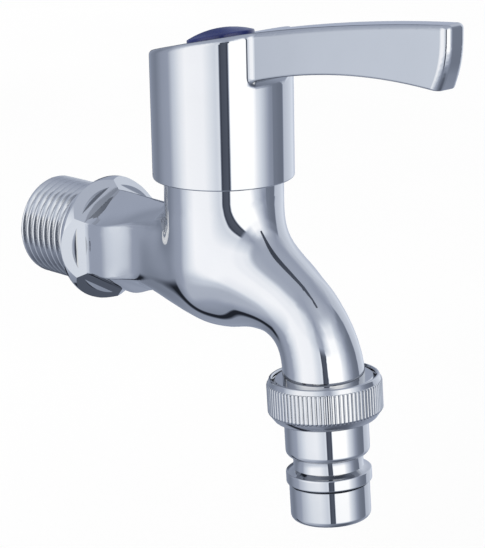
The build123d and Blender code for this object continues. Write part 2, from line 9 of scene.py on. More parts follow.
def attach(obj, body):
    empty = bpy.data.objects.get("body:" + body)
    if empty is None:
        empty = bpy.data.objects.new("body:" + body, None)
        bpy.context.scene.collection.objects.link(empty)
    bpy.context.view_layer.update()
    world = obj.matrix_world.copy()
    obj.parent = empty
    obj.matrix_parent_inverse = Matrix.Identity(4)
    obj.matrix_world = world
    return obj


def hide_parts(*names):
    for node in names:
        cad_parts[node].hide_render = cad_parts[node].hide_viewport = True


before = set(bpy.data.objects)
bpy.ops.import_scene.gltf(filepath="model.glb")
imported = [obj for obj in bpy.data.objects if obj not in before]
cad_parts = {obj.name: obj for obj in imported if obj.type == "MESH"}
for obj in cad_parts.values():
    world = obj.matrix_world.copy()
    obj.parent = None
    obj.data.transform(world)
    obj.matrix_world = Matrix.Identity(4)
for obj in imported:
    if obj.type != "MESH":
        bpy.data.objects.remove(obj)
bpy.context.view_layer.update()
mm = 0.001

# Body: one brass casting, bored from both ends, with a G 1/2 thread cut on its inlet and an
# M20 x 1 thread on the outlet collar. The outside is polished and bright chrome plated, the
# waterways are left bare, and the inlet thread keeps the die's rougher cut under the plate.
inlet_r = 10.4775 * mm
inlet_len = 14.6 * mm
inlet_pitch = 1.814 * mm
inlet_depth = 1.0 * mm
inlet_bore_r = 6.6 * mm
inlet_bore_start = 1 * mm
inlet_bore_end = 30 * mm
collar_r = 10.0 * mm
collar_top = 2.2 * mm   # from here on, places on the outlet are distances down its axis
collar_end = 5.7 * mm
collar_foot = 6.2 * mm
collar_pitch = 1.0 * mm
collar_depth = 0.55 * mm
neck_top = 22.0 * mm
outlet_place = Vector((80.81, 0, -15.0)) * mm
outlet_tilt = radians(3.38)
outlet_axis = Vector((sin(outlet_tilt), 0, -cos(outlet_tilt)))
to_outlet = (Matrix.Translation(outlet_place)
             @ outlet_axis.to_track_quat("X", "Y").to_matrix().to_4x4())
from_outlet = to_outlet.inverted()

# One thread from root to root: how far along the pitch, and how far out of the depth
thread_form = ((0.0, 0.0), (0.06, 0.04), (0.14, 0.25), (0.36, 0.85), (0.44, 0.98), (0.5, 1.0),
               (0.56, 0.98), (0.64, 0.85), (0.86, 0.25), (0.94, 0.04), (1.0, 0.0))
thread_steps = 96             # in one turn
spare_turns = 2               # cut off again at each end
lead_slope = 1.2              # of the bevel that the first thread starts on
run_out = 0.45                # of a pitch, in which the last thread fades
end_gap = 0.04 * mm           # from the thread's ends to the faces that it joins
end_reach = 0.06 * mm         # edges this near to the thread's ends are joined
near = 0.02 * mm              # a point this near to a wall is on it
near_face = 0.01 * mm         # a point this near to a flat face is on it
hair = 0.001 * mm             # the room that a cut or a comparison leaves for rounding
weld = 0.0005 * mm            # corners this near to each other are one
thread_weld = 0.002 * mm      # wider, as a thread's turns only nearly meet


def linear(hex_code):
    """An sRGB hex colour as linear red, green, blue and alpha."""
    parts = [int(hex_code[i:i + 2], 16) / 255 for i in (1, 3, 5)]
    return [p / 12.92 if p <= 0.04045 else ((p + 0.055) / 1.055) ** 2.4 for p in parts] + [1.0]


def add_node(tree, kind, settings=(), values=(), links=()):
    """A new shader node with its settings, its sockets' values and the links into it."""
    node = tree.nodes.new(kind)
    for name, value in dict(settings).items():
        setattr(node, name, value)
    for socket, value in dict(values).items():
        node.inputs[socket].default_value = value
    for socket, source in dict(links).items():
        tree.links.new(source, node.inputs[socket])
    return node


def set_stops(ramp_node, stops):
    """Gives a colour ramp its stops, each a place and a hex colour or a grey."""
    ramp = ramp_node.color_ramp
    while len(ramp.elements) < len(stops):
        ramp.elements.new(0.5)
    for element, (place, tone) in zip(ramp.elements, stops):
        element.position = place
        element.color = linear(tone) if isinstance(tone, str) else (tone, tone, tone, 1)


def surface_of(name, darker, lighter, patch_mm, smooth, rough, grain_mm, grain_high_mm,
               metallic=0.0):
    """A material that drifts between two tones in patches, with a gloss that drifts between
    smooth and rough, and a fine grain of a given width and height."""
    material = bpy.data.materials.new(name)
    material.use_nodes = True
    tree = material.node_tree
    place = add_node(tree, "ShaderNodeTexCoord", {"name": "place"}).outputs["Object"]
    patches = add_node(tree, "ShaderNodeTexNoise", {"name": "patches"},
                       {"Scale": 1 / (patch_mm * mm), "Detail": 3.0}, {"Vector": place})
    tint = add_node(tree, "ShaderNodeValToRGB", {"name": "tint"},
                    links={"Fac": patches.outputs["Fac"]})
    set_stops(tint, ((0.3, darker), (0.7, lighter)))
    film = add_node(tree, "ShaderNodeTexNoise", {"name": "film"},
                    {"Scale": 3 / (patch_mm * mm), "Detail": 4.0}, {"Vector": place})
    gloss = add_node(tree, "ShaderNodeMapRange", {"name": "gloss"},
                     {"From Min": 0.3, "From Max": 0.75, "To Min": smooth, "To Max": rough},
                     {"Value": film.outputs["Fac"]})
    grain = add_node(tree, "ShaderNodeTexNoise", {"name": "grain"},
                     {"Scale": 1 / (grain_mm * mm), "Detail": 1.0}, {"Vector": place})
    bump = add_node(tree, "ShaderNodeBump", {"name": "bump"}, {"Distance": grain_high_mm * mm},
                    {"Height": grain.outputs["Fac"]})
    shader = tree.nodes["Principled BSDF"]
    shader.inputs["Metallic"].default_value = metallic
    tree.links.new(tint.outputs["Color"], shader.inputs["Base Color"])
    tree.links.new(gloss.outputs["Result"], shader.inputs["Roughness"])
    tree.links.new(bump.outputs["Normal"], shader.inputs["Normal"])
    return material


def cut_thread(to_place, crest_r, depth, pitch, start, end):
    """A thread as a spun strip round the local X axis, from start to end, moved by to_place."""
    strip = bmesh.new()
    points = [strip.verts.new((start + (along - spare_turns) * pitch, 0,
                               crest_r - depth * (1 - out))) for along, out in thread_form]
    edges = [strip.edges.new(pair) for pair in zip(points, points[1:])]
    bmesh.ops.spin(strip, geom=points + edges, axis=(1, 0, 0), cent=(0, 0, 0),
                   dvec=(pitch / thread_steps, 0, 0), angle=2 * pi, steps=thread_steps)
    turn = strip.verts[:] + strip.edges[:] + strip.faces[:]
    for count in range(1, int((end - start) / pitch) + 2 * spare_turns):
        copy = bmesh.ops.duplicate(strip, geom=turn)["geom"]
        bmesh.ops.translate(strip, vec=(count * pitch, 0, 0),
                            verts=[v for v in copy if isinstance(v, bmesh.types.BMVert)])
    bmesh.ops.remove_doubles(strip, verts=strip.verts, dist=thread_weld)
    for place, outwards in ((start, -1), (end, 1)):
        bmesh.ops.bisect_plane(strip, geom=strip.verts[:] + strip.edges[:] + strip.faces[:],
                               dist=hair, plane_co=(place, 0, 0), plane_no=(outwards, 0, 0),
                               clear_outer=True)
    for v in strip.verts:
        r = hypot(v.co.y, v.co.z)
        lead_r = crest_r - depth + max(0.0, v.co.x - start) * lead_slope
        out_r = crest_r - depth * min(1.0, (end - v.co.x) / (run_out * pitch))
        new_r = max(min(r, lead_r), out_r)
        v.co.y *= new_r / r
        v.co.z *= new_r / r
    bmesh.ops.transform(strip, matrix=to_place, verts=strip.verts)
    return strip


def copy_node(node, name):
    """A merged copy of a CAD node's mesh, with its exact normals kept on each corner."""
    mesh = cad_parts[node].data.copy()
    mesh.name = name
    mesh.materials.clear()
    exact = mesh.attributes.new("exact_normal", "FLOAT_VECTOR", "CORNER")
    exact.data.foreach_set("vector", [c for n in mesh.corner_normals for c in n.vector])
    build = bmesh.new()
    build.from_mesh(mesh)
    bmesh.ops.remove_doubles(build, verts=build.verts, dist=weld)
    return mesh, build


def finish_piece(mesh, build, name, sharp_angle=28):
    """Writes the mesh, with smooth shading, exact normals where they were kept, and sharp edges."""
    build.to_mesh(mesh)
    build.free()
    mesh.shade_smooth()
    mesh.set_sharp_from_angle(angle=radians(sharp_angle))
    exact = mesh.attributes.get("exact_normal")
    if exact:
        kept = [0.0] * (3 * len(mesh.loops))
        exact.data.foreach_get("vector", kept)
        mesh.normals_split_custom_set(list(zip(kept[0::3], kept[1::3], kept[2::3])))
        mesh.attributes.remove(mesh.attributes["exact_normal"])
    piece = bpy.data.objects.new(name, mesh)
    bpy.context.scene.collection.objects.link(piece)
    return piece


def at_bore_end(point):
    """True on the flat faces that the waterways open through: inlet end, neck top, collar foot."""
    down = (from_outlet @ point).x
    return (point.x < near_face or abs(point.z - neck_top) < near_face
            or abs(down - collar_foot) < near_face)


body_mesh, body_build = copy_node("body", "tap_casting")
# The bored faces are all that can be reached from the inlet bore without crossing an end face
waiting = [f for f in body_build.faces
           if all(hypot(v.co.y, v.co.z) < inlet_bore_r + near for v in f.verts)
           and inlet_bore_start < f.calc_center_median().x < inlet_bore_end
           and not all(at_bore_end(v.co) for v in f.verts)]
bored = set(waiting)
while waiting:
    face = waiting.pop()
    for edge in face.edges:
        for other in edge.link_faces:
            if other not in bored and not all(at_bore_end(v.co) for v in other.verts):
                bored.add(other)
                waiting.append(other)
for face in bored:
    face.material_index = 1

# Where the branch, neck and spout run into one another, polishing leaves no line. The skin there is
# cut to an even fineness, filled out beside the bulb, where the casting is full, and relaxed.
# Waterways, hexagon and collar keep their shape.
skin_step = 0.8 * mm          # no edge of the skin there is longer
skin_merge = 0.12 * mm        # shorter edges go first
merge_share = 0.3             # where the skin is relaxed by at least this share
cut_rounds = 7
mend_rounds = 4
relax_passes = 50
gloss_passes = 24
gloss_gain = 3                # the evened gloss is whole where the relaxing is a third
# Each range below is in mm, with none of the change at its first number and all past its second
root_from_x = (35, 41)        # the roots of branch and spout
root_to_x = (79, 76)
root_foot_z = (-13.5, -10.5)
root_top_z = (9.5, 5.5)
root_rise_x = (48, 56)        # where the top of the roots climbs the neck's front
root_rise = 6.0
flat_from_x = (22.5, 25)      # the branch's flat sides
flat_to_x = (44, 40)
flat_z = (5.0, 3.6)
fill_from_x = (36.5, 40)      # the fill beside the bulb
fill_to_x = (54, 51)
fill_top_z = (6.5, 3.0)
under_spout_reach = (8.0, 1.5)
under_spout = Vector((62.0, 2.0, -9.6)) * mm
under_spout_fill = 0.8 * mm
hull_from_x = 36 * mm         # the hull that the bulb is filled out to
hull_to_x = 60 * mm
hull_top = 9.5 * mm


def between(value, start, end):
    """0 before start, 1 past end (in mm), with an even slope at both; start may be the larger."""
    share = min(1.0, max(0.0, (value / mm - start) / (end - start)))
    return share * share * (3 - 2 * share)


def outside(v):
    """True for a corner of the polished skin, away from the waterways."""
    return not any(f.material_index for f in v.link_faces)


def relax_share(v):
    """How far a corner is relaxed: 0 away from the roots and flat sides, 1 in the middle."""
    x, y, z = v.co
    rise = root_rise * between(x, *root_rise_x)
    roots = (between(x, *root_from_x) * between(z, root_top_z[0] + rise, root_top_z[1] + rise)
             * between(z, *root_foot_z) * between(x, *root_to_x))
    flat_sides = between(x, *flat_from_x) * between(x, *flat_to_x) * between(abs(z), *flat_z)
    return outside(v) * max(roots, flat_sides)


def fill_share(v):
    """How far a corner is filled out, from the branch's waist round to the bulb's sides."""
    x, y, z = v.co
    return (outside(v) * between(x, *fill_from_x) * between(x, *fill_to_x)
            * between(z, *fill_top_z))


def cut_to_triangles(build):
    """Cuts every face with more than three corners into triangles."""
    bmesh.ops.triangulate(build, faces=[f for f in build.faces if len(f.verts) > 3])


soft_edges = [e for e in body_build.edges if all(relax_share(v) > merge_share for v in e.verts)]
bmesh.ops.dissolve_degenerate(body_build, dist=skin_merge, edges=soft_edges)
for cut in range(cut_rounds):
    skin = {v for v in body_build.verts if relax_share(v) > 0}
    long_edges = [e for e in body_build.edges if e.verts[0] in skin and e.verts[1] in skin
                  and e.calc_length() > skin_step]
    if not long_edges:
        break
    bmesh.ops.subdivide_edges(body_build, edges=long_edges, cuts=1)
    cut_to_triangles(body_build)
# Where the merging left an edge without two faces, the faces round it are cut out and refilled
for mend in range(mend_rounds):
    odd_faces = {f for e in body_build.edges if len(e.link_faces) != 2
                 for v in e.verts for f in v.link_faces}
    if not odd_faces:
        break
    bmesh.ops.delete(body_build, geom=list(odd_faces), context="FACES")
    bmesh.ops.holes_fill(body_build, edges=[e for e in body_build.edges if e.is_boundary], sides=0)
    cut_to_triangles(body_build)

# Beside the bulb the skin goes straight out from the branch's axis, towards its own hull
hull = bmesh.new()
for v in body_build.verts:
    if outside(v) and hull_from_x < v.co.x < hull_to_x and v.co.z < hull_top:
        hull.verts.new(v.co)
bmesh.ops.convex_hull(hull, input=hull.verts)
hull_tree = BVHTree.FromBMesh(hull)
hull.free()
for v in body_build.verts:
    share = fill_share(v)
    if share > 0:
        out = Vector((0, v.co.y, v.co.z)).normalized()
        reach = hull_tree.ray_cast(v.co, out)[3]
        if reach:
            v.co += out * (share * reach)
body_build.normal_update()
for v in body_build.verts:
    spot = Vector((v.co.x, abs(v.co.y), v.co.z)) - under_spout
    if outside(v):
        v.co += v.normal * (under_spout_fill * between(spot.length, *under_spout_reach))

# The middle of each root is relaxed in every pass, and its rims only in the first ones
shares = {v: relax_share(v) for v in body_build.verts}
for relax in range(relax_passes):
    bmesh.ops.smooth_vert(body_build, factor=0.5, use_axis_x=True, use_axis_y=True, use_axis_z=True,
                          verts=[v for v, share in shares.items() if share * relax_passes > relax])
body_build.normal_update()
normals = {v: v.normal.copy() for v, share in shares.items() if share > 0}


def evened(v):
    """A corner's normal, turned part of the way to the mean of its neighbours' normals."""
    others = (e.other_vert(v) for e in v.link_edges)
    mean = sum((normals[other] for other in others if other in normals), Vector()).normalized()
    return (normals[v] + 0.5 * shares[v] * (mean - normals[v])).normalized()


for polish in range(gloss_passes):
    normals = {v: evened(v) for v in normals}
exact = body_build.loops.layers.float_vector["exact_normal"]
for v, normal in normals.items():
    for corner in v.link_loops:
        corner[exact] = corner[exact].lerp(normal, min(1.0, gloss_gain * shares[v]))

# Each thread takes the place of the plain wall that the CAD has there. The inlet's end is cut down
# to the thread's root, as its bevel starts there.
for to_place, crest_r, depth, pitch, start, end, cut_down_end in (
        (Matrix.Identity(4), inlet_r, inlet_depth, inlet_pitch, 0.0, inlet_len, True),
        (to_outlet, collar_r, collar_depth, collar_pitch, collar_top, collar_end, False)):
    back = to_place.inverted()
    on_wall = {}
    for v in body_build.verts:
        local = back @ v.co
        if abs(hypot(local.y, local.z) - crest_r) < near and start - near < local.x < end + near:
            on_wall[v] = local.x
    bmesh.ops.delete(body_build, context="FACES",
                     geom=[f for f in body_build.faces if all(v in on_wall for v in f.verts)])
    if cut_down_end:
        for v, x in on_wall.items():
            if v.is_valid and x < start + near:
                v.co.y *= (crest_r - depth) / crest_r
                v.co.z *= (crest_r - depth) / crest_r
    strip = cut_thread(to_place, crest_r, depth, pitch, start + end_gap, end - end_gap)
    strip_mesh = bpy.data.meshes.new("thread_strip")
    strip.to_mesh(strip_mesh)
    strip.free()
    body_build.from_mesh(strip_mesh)
    bpy.data.meshes.remove(strip_mesh)
    open_edges = [e for e in body_build.edges if e.is_boundary]
    for place in (start, end):
        ring = [e for e in open_edges
                if all(abs((back @ v.co).x - place) < end_reach for v in e.verts)]
        bmesh.ops.bridge_loops(body_build, edges=ring)
bmesh.ops.recalc_face_normals(body_build, faces=body_build.faces)
body = finish_piece(body_mesh, body_build, "tap_casting")

# Bright chrome over polished brass: a cool white mirror with faint waves from the polishing wheel,
# about 4 mm apart, and a film of handling that dulls it unevenly. The inlet's thread is duller.
thread_roughness = 0.10       # added to the polished skin's
thread_fade = 0.8 * mm
body_chrome = surface_of("bright_chrome_on_cast_brass", "#C9CACB", "#CECFD0", patch_mm=18,
                         smooth=0.02, rough=0.06, grain_mm=4.0, grain_high_mm=0.008, metallic=1.0)
tree = body_chrome.node_tree
along = add_node(tree, "ShaderNodeSeparateXYZ",
                 links={"Vector": tree.nodes["place"].outputs["Object"]})
on_thread = add_node(tree, "ShaderNodeMapRange",
                     values={"From Min": inlet_len, "From Max": inlet_len + thread_fade,
                             "To Min": thread_roughness, "To Max": 0.0},
                     links={"Value": along.outputs["X"]})
duller = add_node(tree, "ShaderNodeMath", {"operation": "ADD"},
                  links={0: tree.nodes["gloss"].outputs["Result"], 1: on_thread.outputs["Result"]})
tree.links.new(duller.outputs[0], tree.nodes["Principled BSDF"].inputs["Roughness"])
# Bored brass: yellow, satin from the drill, a little tarnished in patches
bored_brass = surface_of("bored_brass", "#B08A48", "#D2AE66", patch_mm=6, smooth=0.22, rough=0.42,
                         grain_mm=0.35, grain_high_mm=0.006, metallic=1.0)
body.data.materials.append(body_chrome)
body.data.materials.append(bored_brass)
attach(body, "tap_body")
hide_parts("body")


# Headwork housing and spindle: bar brass, turned on a lathe. The housing screws into the neck and
# holds the discs, and the spindle turns in it and carries the handle on its toothed end.
def dress(material, *nodes):
    """Gives CAD nodes a material of their own."""
    for node in nodes:
        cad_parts[node].data.materials.clear()
        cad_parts[node].data.materials.append(material)


# Turned brass: clear yellow, with fine rings from the tool's feed, drawn 0.5 mm apart to show
feed_rings = 0.5 * mm
wave_metre = 0.314   # the scale at which a wave texture's bands are a metre apart
turned_brass = surface_of("turned_brass", "#C29A50", "#DDBB72", patch_mm=9, smooth=0.16, rough=0.30,
                          grain_mm=0.5, grain_high_mm=0.004, metallic=1.0)
tree = turned_brass.node_tree
rings = add_node(tree, "ShaderNodeTexWave",
                 {"wave_type": "BANDS", "bands_direction": "Z", "wave_profile": "SIN"},
                 {"Scale": wave_metre / feed_rings, "Distortion": 0.0},
                 {"Vector": tree.nodes["place"].outputs["Object"]})
tree.links.new(rings.outputs["Fac"], tree.nodes["bump"].inputs["Height"])
dress(turned_brass, "headwork_housing", "spindle")

# Seals: rings moulded in black nitrile rubber, laid in grooves of the housing, spindle and seat,
# and the flat washer between the spout's collar and the hose nozzle.
# Nitrile rubber: near black, matt, with a bloom that greys it in patches
nitrile = surface_of("moulded_nitrile_rubber", "#161718", "#232425", patch_mm=4, smooth=0.55,
                     rough=0.78, grain_mm=0.25, grain_high_mm=0.010)
nitrile.node_tree.nodes["Principled BSDF"].inputs["Specular IOR Level"].default_value = 0.4
dress(nitrile, "housing_o_ring", "seat_seal", "spindle_o_rings", "outlet_washer")

# Support ring, thrust washer and handle insert: moulded in natural acetal, a slippery white
# plastic. The first two are laid in the headwork, the insert is pressed into the handle's boss.
# Natural acetal: milky white, waxy, lets a little light in
acetal = surface_of("moulded_acetal", "#DCDAD0", "#E8E6DE", patch_mm=8, smooth=0.32, rough=0.48,
                    grain_mm=0.4, grain_high_mm=0.004)
shader = acetal.node_tree.nodes["Principled BSDF"]
shader.inputs["Subsurface Weight"].default_value = 0.08
shader.inputs["Subsurface Radius"].default_value = (1.0 * mm, 1.0 * mm, 0.9 * mm)
dress(acetal, "seal_support_ring", "thrust_washer", "handle_insert")

# Discs: two alumina plates, pressed, fired and lapped flat, that turn on each other to open or
# close the water's way. The lower one is keyed to the housing, the upper one to the spindle.
# Lapped alumina: off white, with a silky gloss and a faint grain from the lapping
alumina = surface_of("lapped_alumina", "#E4E1D8", "#F0EEE8", patch_mm=5, smooth=0.14, rough=0.24,
                     grain_mm=0.3, grain_high_mm=0.002)
alumina.node_tree.nodes["Principled BSDF"].inputs["IOR"].default_value = 1.76
dress(alumina, "fixed_disc", "moving_disc")

# Clip and screw: the open ring that holds the spindle down, stamped from spring steel, and the
# socket-headed screw that holds the handle, turned and zinc plated.
# Plated steel: grey white metal, satin, with small darker clouds in the plate
plated_steel = surface_of("zinc_plated_steel", "#9DA0A4", "#B9BCC0", patch_mm=3, smooth=0.22,
                          rough=0.38, grain_mm=0.3, grain_high_mm=0.004, metallic=1.0)
dress(plated_steel, "retaining_clip", "handle_screw")

# Handle: a zinc die casting, a cup over the body's neck with a flat lever that sweeps up and
# out over the spout, polished and chrome plated, held by the screw under the button.
# Bright chrome over polished zinc: a flatter, calmer mirror than the body's
handle_chrome = surface_of("bright_chrome_on_zinc", "#C9CACB", "#CECFD0", patch_mm=20, smooth=0.02,
                           rough=0.05, grain_mm=7.0, grain_high_mm=0.006, metallic=1.0)
dress(handle_chrome, "handle")

# Index button: a domed disc moulded in blue ABS for cold water, pressed into the handle's top
# over the screw, with nothing printed on it.
# Blue ABS: deep blue, glossy from the mould, with a very slight orange peel
blue_abs = surface_of("moulded_blue_abs", "#101B58", "#17276E", patch_mm=7, smooth=0.20, rough=0.30,
                      grain_mm=1.2, grain_high_mm=0.004)
blue_abs.node_tree.nodes["Principled BSDF"].inputs["IOR"].default_value = 1.54
dress(blue_abs, "index_button")

# Union nut: turned from brass bar, with a rolled straight knurl of rounded ridges to grip it by,
# an inner thread for the spout's collar and a web that carries the nozzle. Chrome plated.
nut_bore_r = 10.05 * mm
nut_thread_depth = 0.35 * mm
nut_thread_lead = 0.45 * mm   # from the nut's top to its first groove
nut_thread_spare = 1.0 * mm   # left plain above the web
nut_top_r = 10.65 * mm
nut_r = 11.25 * mm
nut_foot_r = 10.10 * mm
nut_web_r = 8.53 * mm
nut_top = 1.4 * mm
nut_web = 8.9 * mm
nut_end = 9.85 * mm
knurl_top = nut_top + 1.05 * mm
knurl_end = nut_end - 1.55 * mm
ridge_count = 80
ridge_depth = 0.2 * mm
ridge_shape = (0.0, 0.72, 0.96, 1.0, 1.0, 1.0, 0.96, 0.72)   # one ridge from groove to groove
ridge_r = nut_r - 0.2 * mm             # whatever stands farther out is knurled
groove_r = nut_r - 0.7 * ridge_depth   # a groove's sides start inside this
flank_r = nut_r - 0.6 * ridge_depth    # and end outside this
under_knurl_r = nut_r - ridge_depth
# The nut's outline, from the web's hole up the outside to the bore: a radius and a step out from
# it in mm, and a place down the axis and a step down from it in mm
nut_outline = (
    (nut_web_r, 0, nut_web, 0), (nut_web_r, 0, nut_end, -0.15), (nut_web_r, 0.15, nut_end, 0),
    (nut_foot_r, -0.25, nut_end, 0), (nut_foot_r, 0, nut_end, -0.2),
    (under_knurl_r, -0.12, knurl_end, 0.2), (under_knurl_r, -0.05, knurl_end, 0.06),
    (nut_r, -0.12, knurl_end, -0.02), (nut_r, 0, knurl_end, -0.3), (nut_r, 0, knurl_end, -0.4),
    (nut_r, 0, knurl_top, 0.45), (nut_r, 0, knurl_top, 0.35), (nut_r, -0.1, knurl_top, 0),
    (nut_r, -0.24, knurl_top, -0.06), (nut_r, -0.27, knurl_top, -0.14),
    (nut_top_r, 0.094, nut_top, 0.22), (nut_top_r, 0.06, nut_top, 0.12),
    (nut_top_r, -0.1, nut_top, 0), (nut_bore_r, 0.25, nut_top, 0), (nut_bore_r, 0, nut_top, 0.25))
# One groove of its inner thread, rounded: how far along the pitch, and how far out of the depth
nut_groove = ((0.0, 0.0), (0.3, 0.5), (0.5, 1.0), (0.7, 0.5))


def spin_outline(points, steps):
    """A turned piece: an outline of (radius, distance down) points spun round the local X axis."""
    build = bmesh.new()
    line = [build.verts.new((down, 0, r)) for r, down in points]
    edges = [build.edges.new(pair) for pair in zip(line, line[1:] + line[:1])]
    bmesh.ops.spin(build, geom=line + edges, axis=(1, 0, 0), cent=(0, 0, 0), angle=2 * pi,
                   steps=steps, use_merge=True)
    bmesh.ops.remove_doubles(build, verts=build.verts, dist=weld)
    return build


def place_on_outlet(build, name, sharp_angle):
    """Moves a turned piece on to the outlet's axis and writes it."""
    bmesh.ops.transform(build, matrix=to_outlet, verts=build.verts)
    bmesh.ops.recalc_face_normals(build, faces=build.faces)
    return finish_piece(bpy.data.meshes.new(name), build, name, sharp_angle)


outline = [(r + out * mm, place + down * mm) for r, out, place, down in nut_outline]
for turn in range(int((nut_web - nut_top - nut_thread_spare) / collar_pitch)):
    groove = nut_top + nut_thread_lead + turn * collar_pitch
    outline += [(nut_bore_r + out * nut_thread_depth, groove + along * collar_pitch)
                for along, out in nut_groove]
outline.append((nut_bore_r, nut_web))
nut_steps = ridge_count * len(ridge_shape)
nut_build = spin_outline(outline, nut_steps)
for v in nut_build.verts:
    r = hypot(v.co.y, v.co.z)
    if r > ridge_r and knurl_top - near < v.co.x < knurl_end:
        turned_by = Vector((v.co.z, v.co.y)).angle_signed(Vector((1, 0)))
        step = round(turned_by / (2 * pi / nut_steps))
        new_r = r - ridge_depth * (1 - ridge_shape[step % len(ridge_shape)])
        v.co.y *= new_r / r
        v.co.z *= new_r / r
# The faces on the grooves' sides take the second slot, the painted shade
for face in nut_build.faces:
    radii = [hypot(v.co.y, v.co.z) for v in face.verts]
    on_knurl = knurl_top < face.calc_center_median().x < knurl_end
    if on_knurl and min(radii) < groove_r and max(radii) > flank_r:
        face.material_index = 1
nut = place_on_outlet(nut_build, "knurled_union_nut", 40)
# Bright chrome over knurled brass: a little greyer and duller than on the body
nut_chrome = surface_of("bright_chrome_on_knurled_brass", "#C6C7C8", "#CECFD0", patch_mm=8,
                        smooth=0.05, rough=0.12, grain_mm=2.0, grain_high_mm=0.004, metallic=1.0)
# Painted shade: the chrome is coloured darker down in the grooves of the knurl, where the knurl
# shades itself, and is duller there
groove_painted_shade = surface_of("painted_shade_in_grooves", "#A2A5AA", "#B0B3B8", patch_mm=2, smooth=0.15,
                           rough=0.25, grain_mm=0.5, grain_high_mm=0.004, metallic=1.0)
nut.data.materials.append(nut_chrome)
nut.data.materials.append(groove_painted_shade)
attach(nut, "union_nut")
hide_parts("coupling_nut")

# Hose nozzle: turned from brass bar, with a waist and ring that a quick connector or a clipped
# hose holds on to, and a narrow undercut below the ring, chrome plated outside. It hangs in the
# nut by its collar and turns freely.
nozzle_collar_r = 9.3 * mm
nozzle_collar_top = 7.7 * mm
nozzle_collar_end = 8.9 * mm
nozzle_collar_edge = 0.1 * mm
nozzle_bore_r = 5.0 * mm
nozzle_bore_edge = 0.2 * mm
nozzle_r = 8.23 * mm
nozzle_end = 15.95 * mm
nozzle_round = 1.15 * mm
waist_r = 6.85 * mm
waist_start = 17.1 * mm
waist_end = 19.6 * mm
ring_r = 8.39 * mm
ring_top = 20.3 * mm
ring_end = 22.5 * mm
ring_top_round = 0.3 * mm
ring_top_centre = ring_top + 0.22 * mm
ring_foot_round = 0.2 * mm
tip_r = 7.88 * mm
tip_end = 30.1 * mm
tip_round = 1.1 * mm
tip_edge = 0.08 * mm
undercut_depth = 0.35 * mm
undercut_end = ring_end + 0.42 * mm
undercut_lip = 0.12 * mm      # how far outside the tip its faces may reach
support = 0.08 * mm           # from a rounding to the ring that keeps a straight wall's shade even
nozzle_steps = 160


def rounded(centre_r, centre_down, radius, start, end, steps):
    """Points of an arc in a lathe outline, from one angle to another, 0 outwards and 90 down."""
    angles = [radians(start + (end - start) * i / steps) for i in range(steps + 1)]
    return [(centre_r + radius * cos(a), centre_down + radius * sin(a)) for a in angles]


# Down the outside: the collar, the wall, its shoulder, the waist, the ring, the undercut, the tip
outline = (
    [(nozzle_bore_r, nozzle_collar_top), (nozzle_collar_r - nozzle_collar_edge, nozzle_collar_top),
     (nozzle_collar_r, nozzle_collar_top + nozzle_collar_edge), (nozzle_collar_r, nozzle_collar_end)]
    + [(nozzle_r, nozzle_collar_end), (nozzle_r, nozzle_end - support), (nozzle_r, nozzle_end)]
    + rounded(nozzle_r - nozzle_round, nozzle_end, nozzle_round, 12, 78, 7)
    + [(waist_r + 0.02 * mm, waist_start + 0.05 * mm), (waist_r, waist_start + 0.2 * mm),
       (waist_r, waist_end - 0.15 * mm), (waist_r + 0.05 * mm, waist_end)]
    + [(ring_r - 0.45 * mm, ring_top - 0.08 * mm)]
    + rounded(ring_r - ring_top_round, ring_top_centre, ring_top_round, -60, 0, 4)
    + [(ring_r, ring_top_centre + support), (ring_r, ring_end - ring_foot_round - support)]
    + rounded(ring_r - ring_foot_round, ring_end - ring_foot_round, ring_foot_round, 0, 90, 4)
    + [(tip_r - undercut_depth, ring_end), (tip_r - undercut_depth, undercut_end)]
    + [(tip_r - tip_edge, undercut_end), (tip_r, undercut_end + tip_edge),
       (tip_r, undercut_end + tip_edge + support), (tip_r, tip_end - tip_round - support)]
    + rounded(tip_r - tip_round, tip_end - tip_round, tip_round, 0, 90, 8)
    + [(nozzle_bore_r + nozzle_bore_edge, tip_end), (nozzle_bore_r, tip_end - nozzle_bore_edge)])
nozzle_build = spin_outline(outline, nozzle_steps)
# The faces in the undercut take the second slot, the painted shade
for face in nozzle_build.faces:
    in_undercut = ring_end - hair < face.calc_center_median().x < undercut_end + hair
    if in_undercut and max(hypot(v.co.y, v.co.z) for v in face.verts) < tip_r + undercut_lip:
        face.material_index = 1
nozzle = place_on_outlet(nozzle_build, "turned_hose_nozzle", 30)
# Bright chrome over turned brass: a sharp mirror with hardly any wave in it
nozzle_chrome = surface_of("bright_chrome_on_turned_brass", "#C9CACB", "#CECFD0", patch_mm=12,
                           smooth=0.02, rough=0.05, grain_mm=3.0, grain_high_mm=0.003, metallic=1.0)
# Painted shade: the narrow undercut below the ring is coloured near black for the shade under the
# ring, and is dull there
undercut_painted_shade = surface_of("painted_shade_in_undercut", "#2B2E34", "#3A3E46", patch_mm=3, smooth=0.30,
                         rough=0.45, grain_mm=0.5, grain_high_mm=0.004, metallic=1.0)
nozzle.data.materials.append(nozzle_chrome)
nozzle.data.materials.append(undercut_painted_shade)
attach(nozzle, "hose_tail")
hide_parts("hose_nozzle")

# Studio: the tap hangs in the air between two tall soft boxes, left and right of the camera, with
# a dark gap where the camera stands, grey walls at the sides and a darker floor below. Each row is
# a height in degrees above the horizon, and how light it is there at each bearing from the camera.
camera_azimuth = radians(46.5)
camera_height = radians(15.81)
camera_roll = radians(-1.12)
camera_distance = 421.38 * mm
camera_target = Vector((58.63, 0, -0.43)) * mm
chrome_return = 0.6           # share of the light that chrome sends back

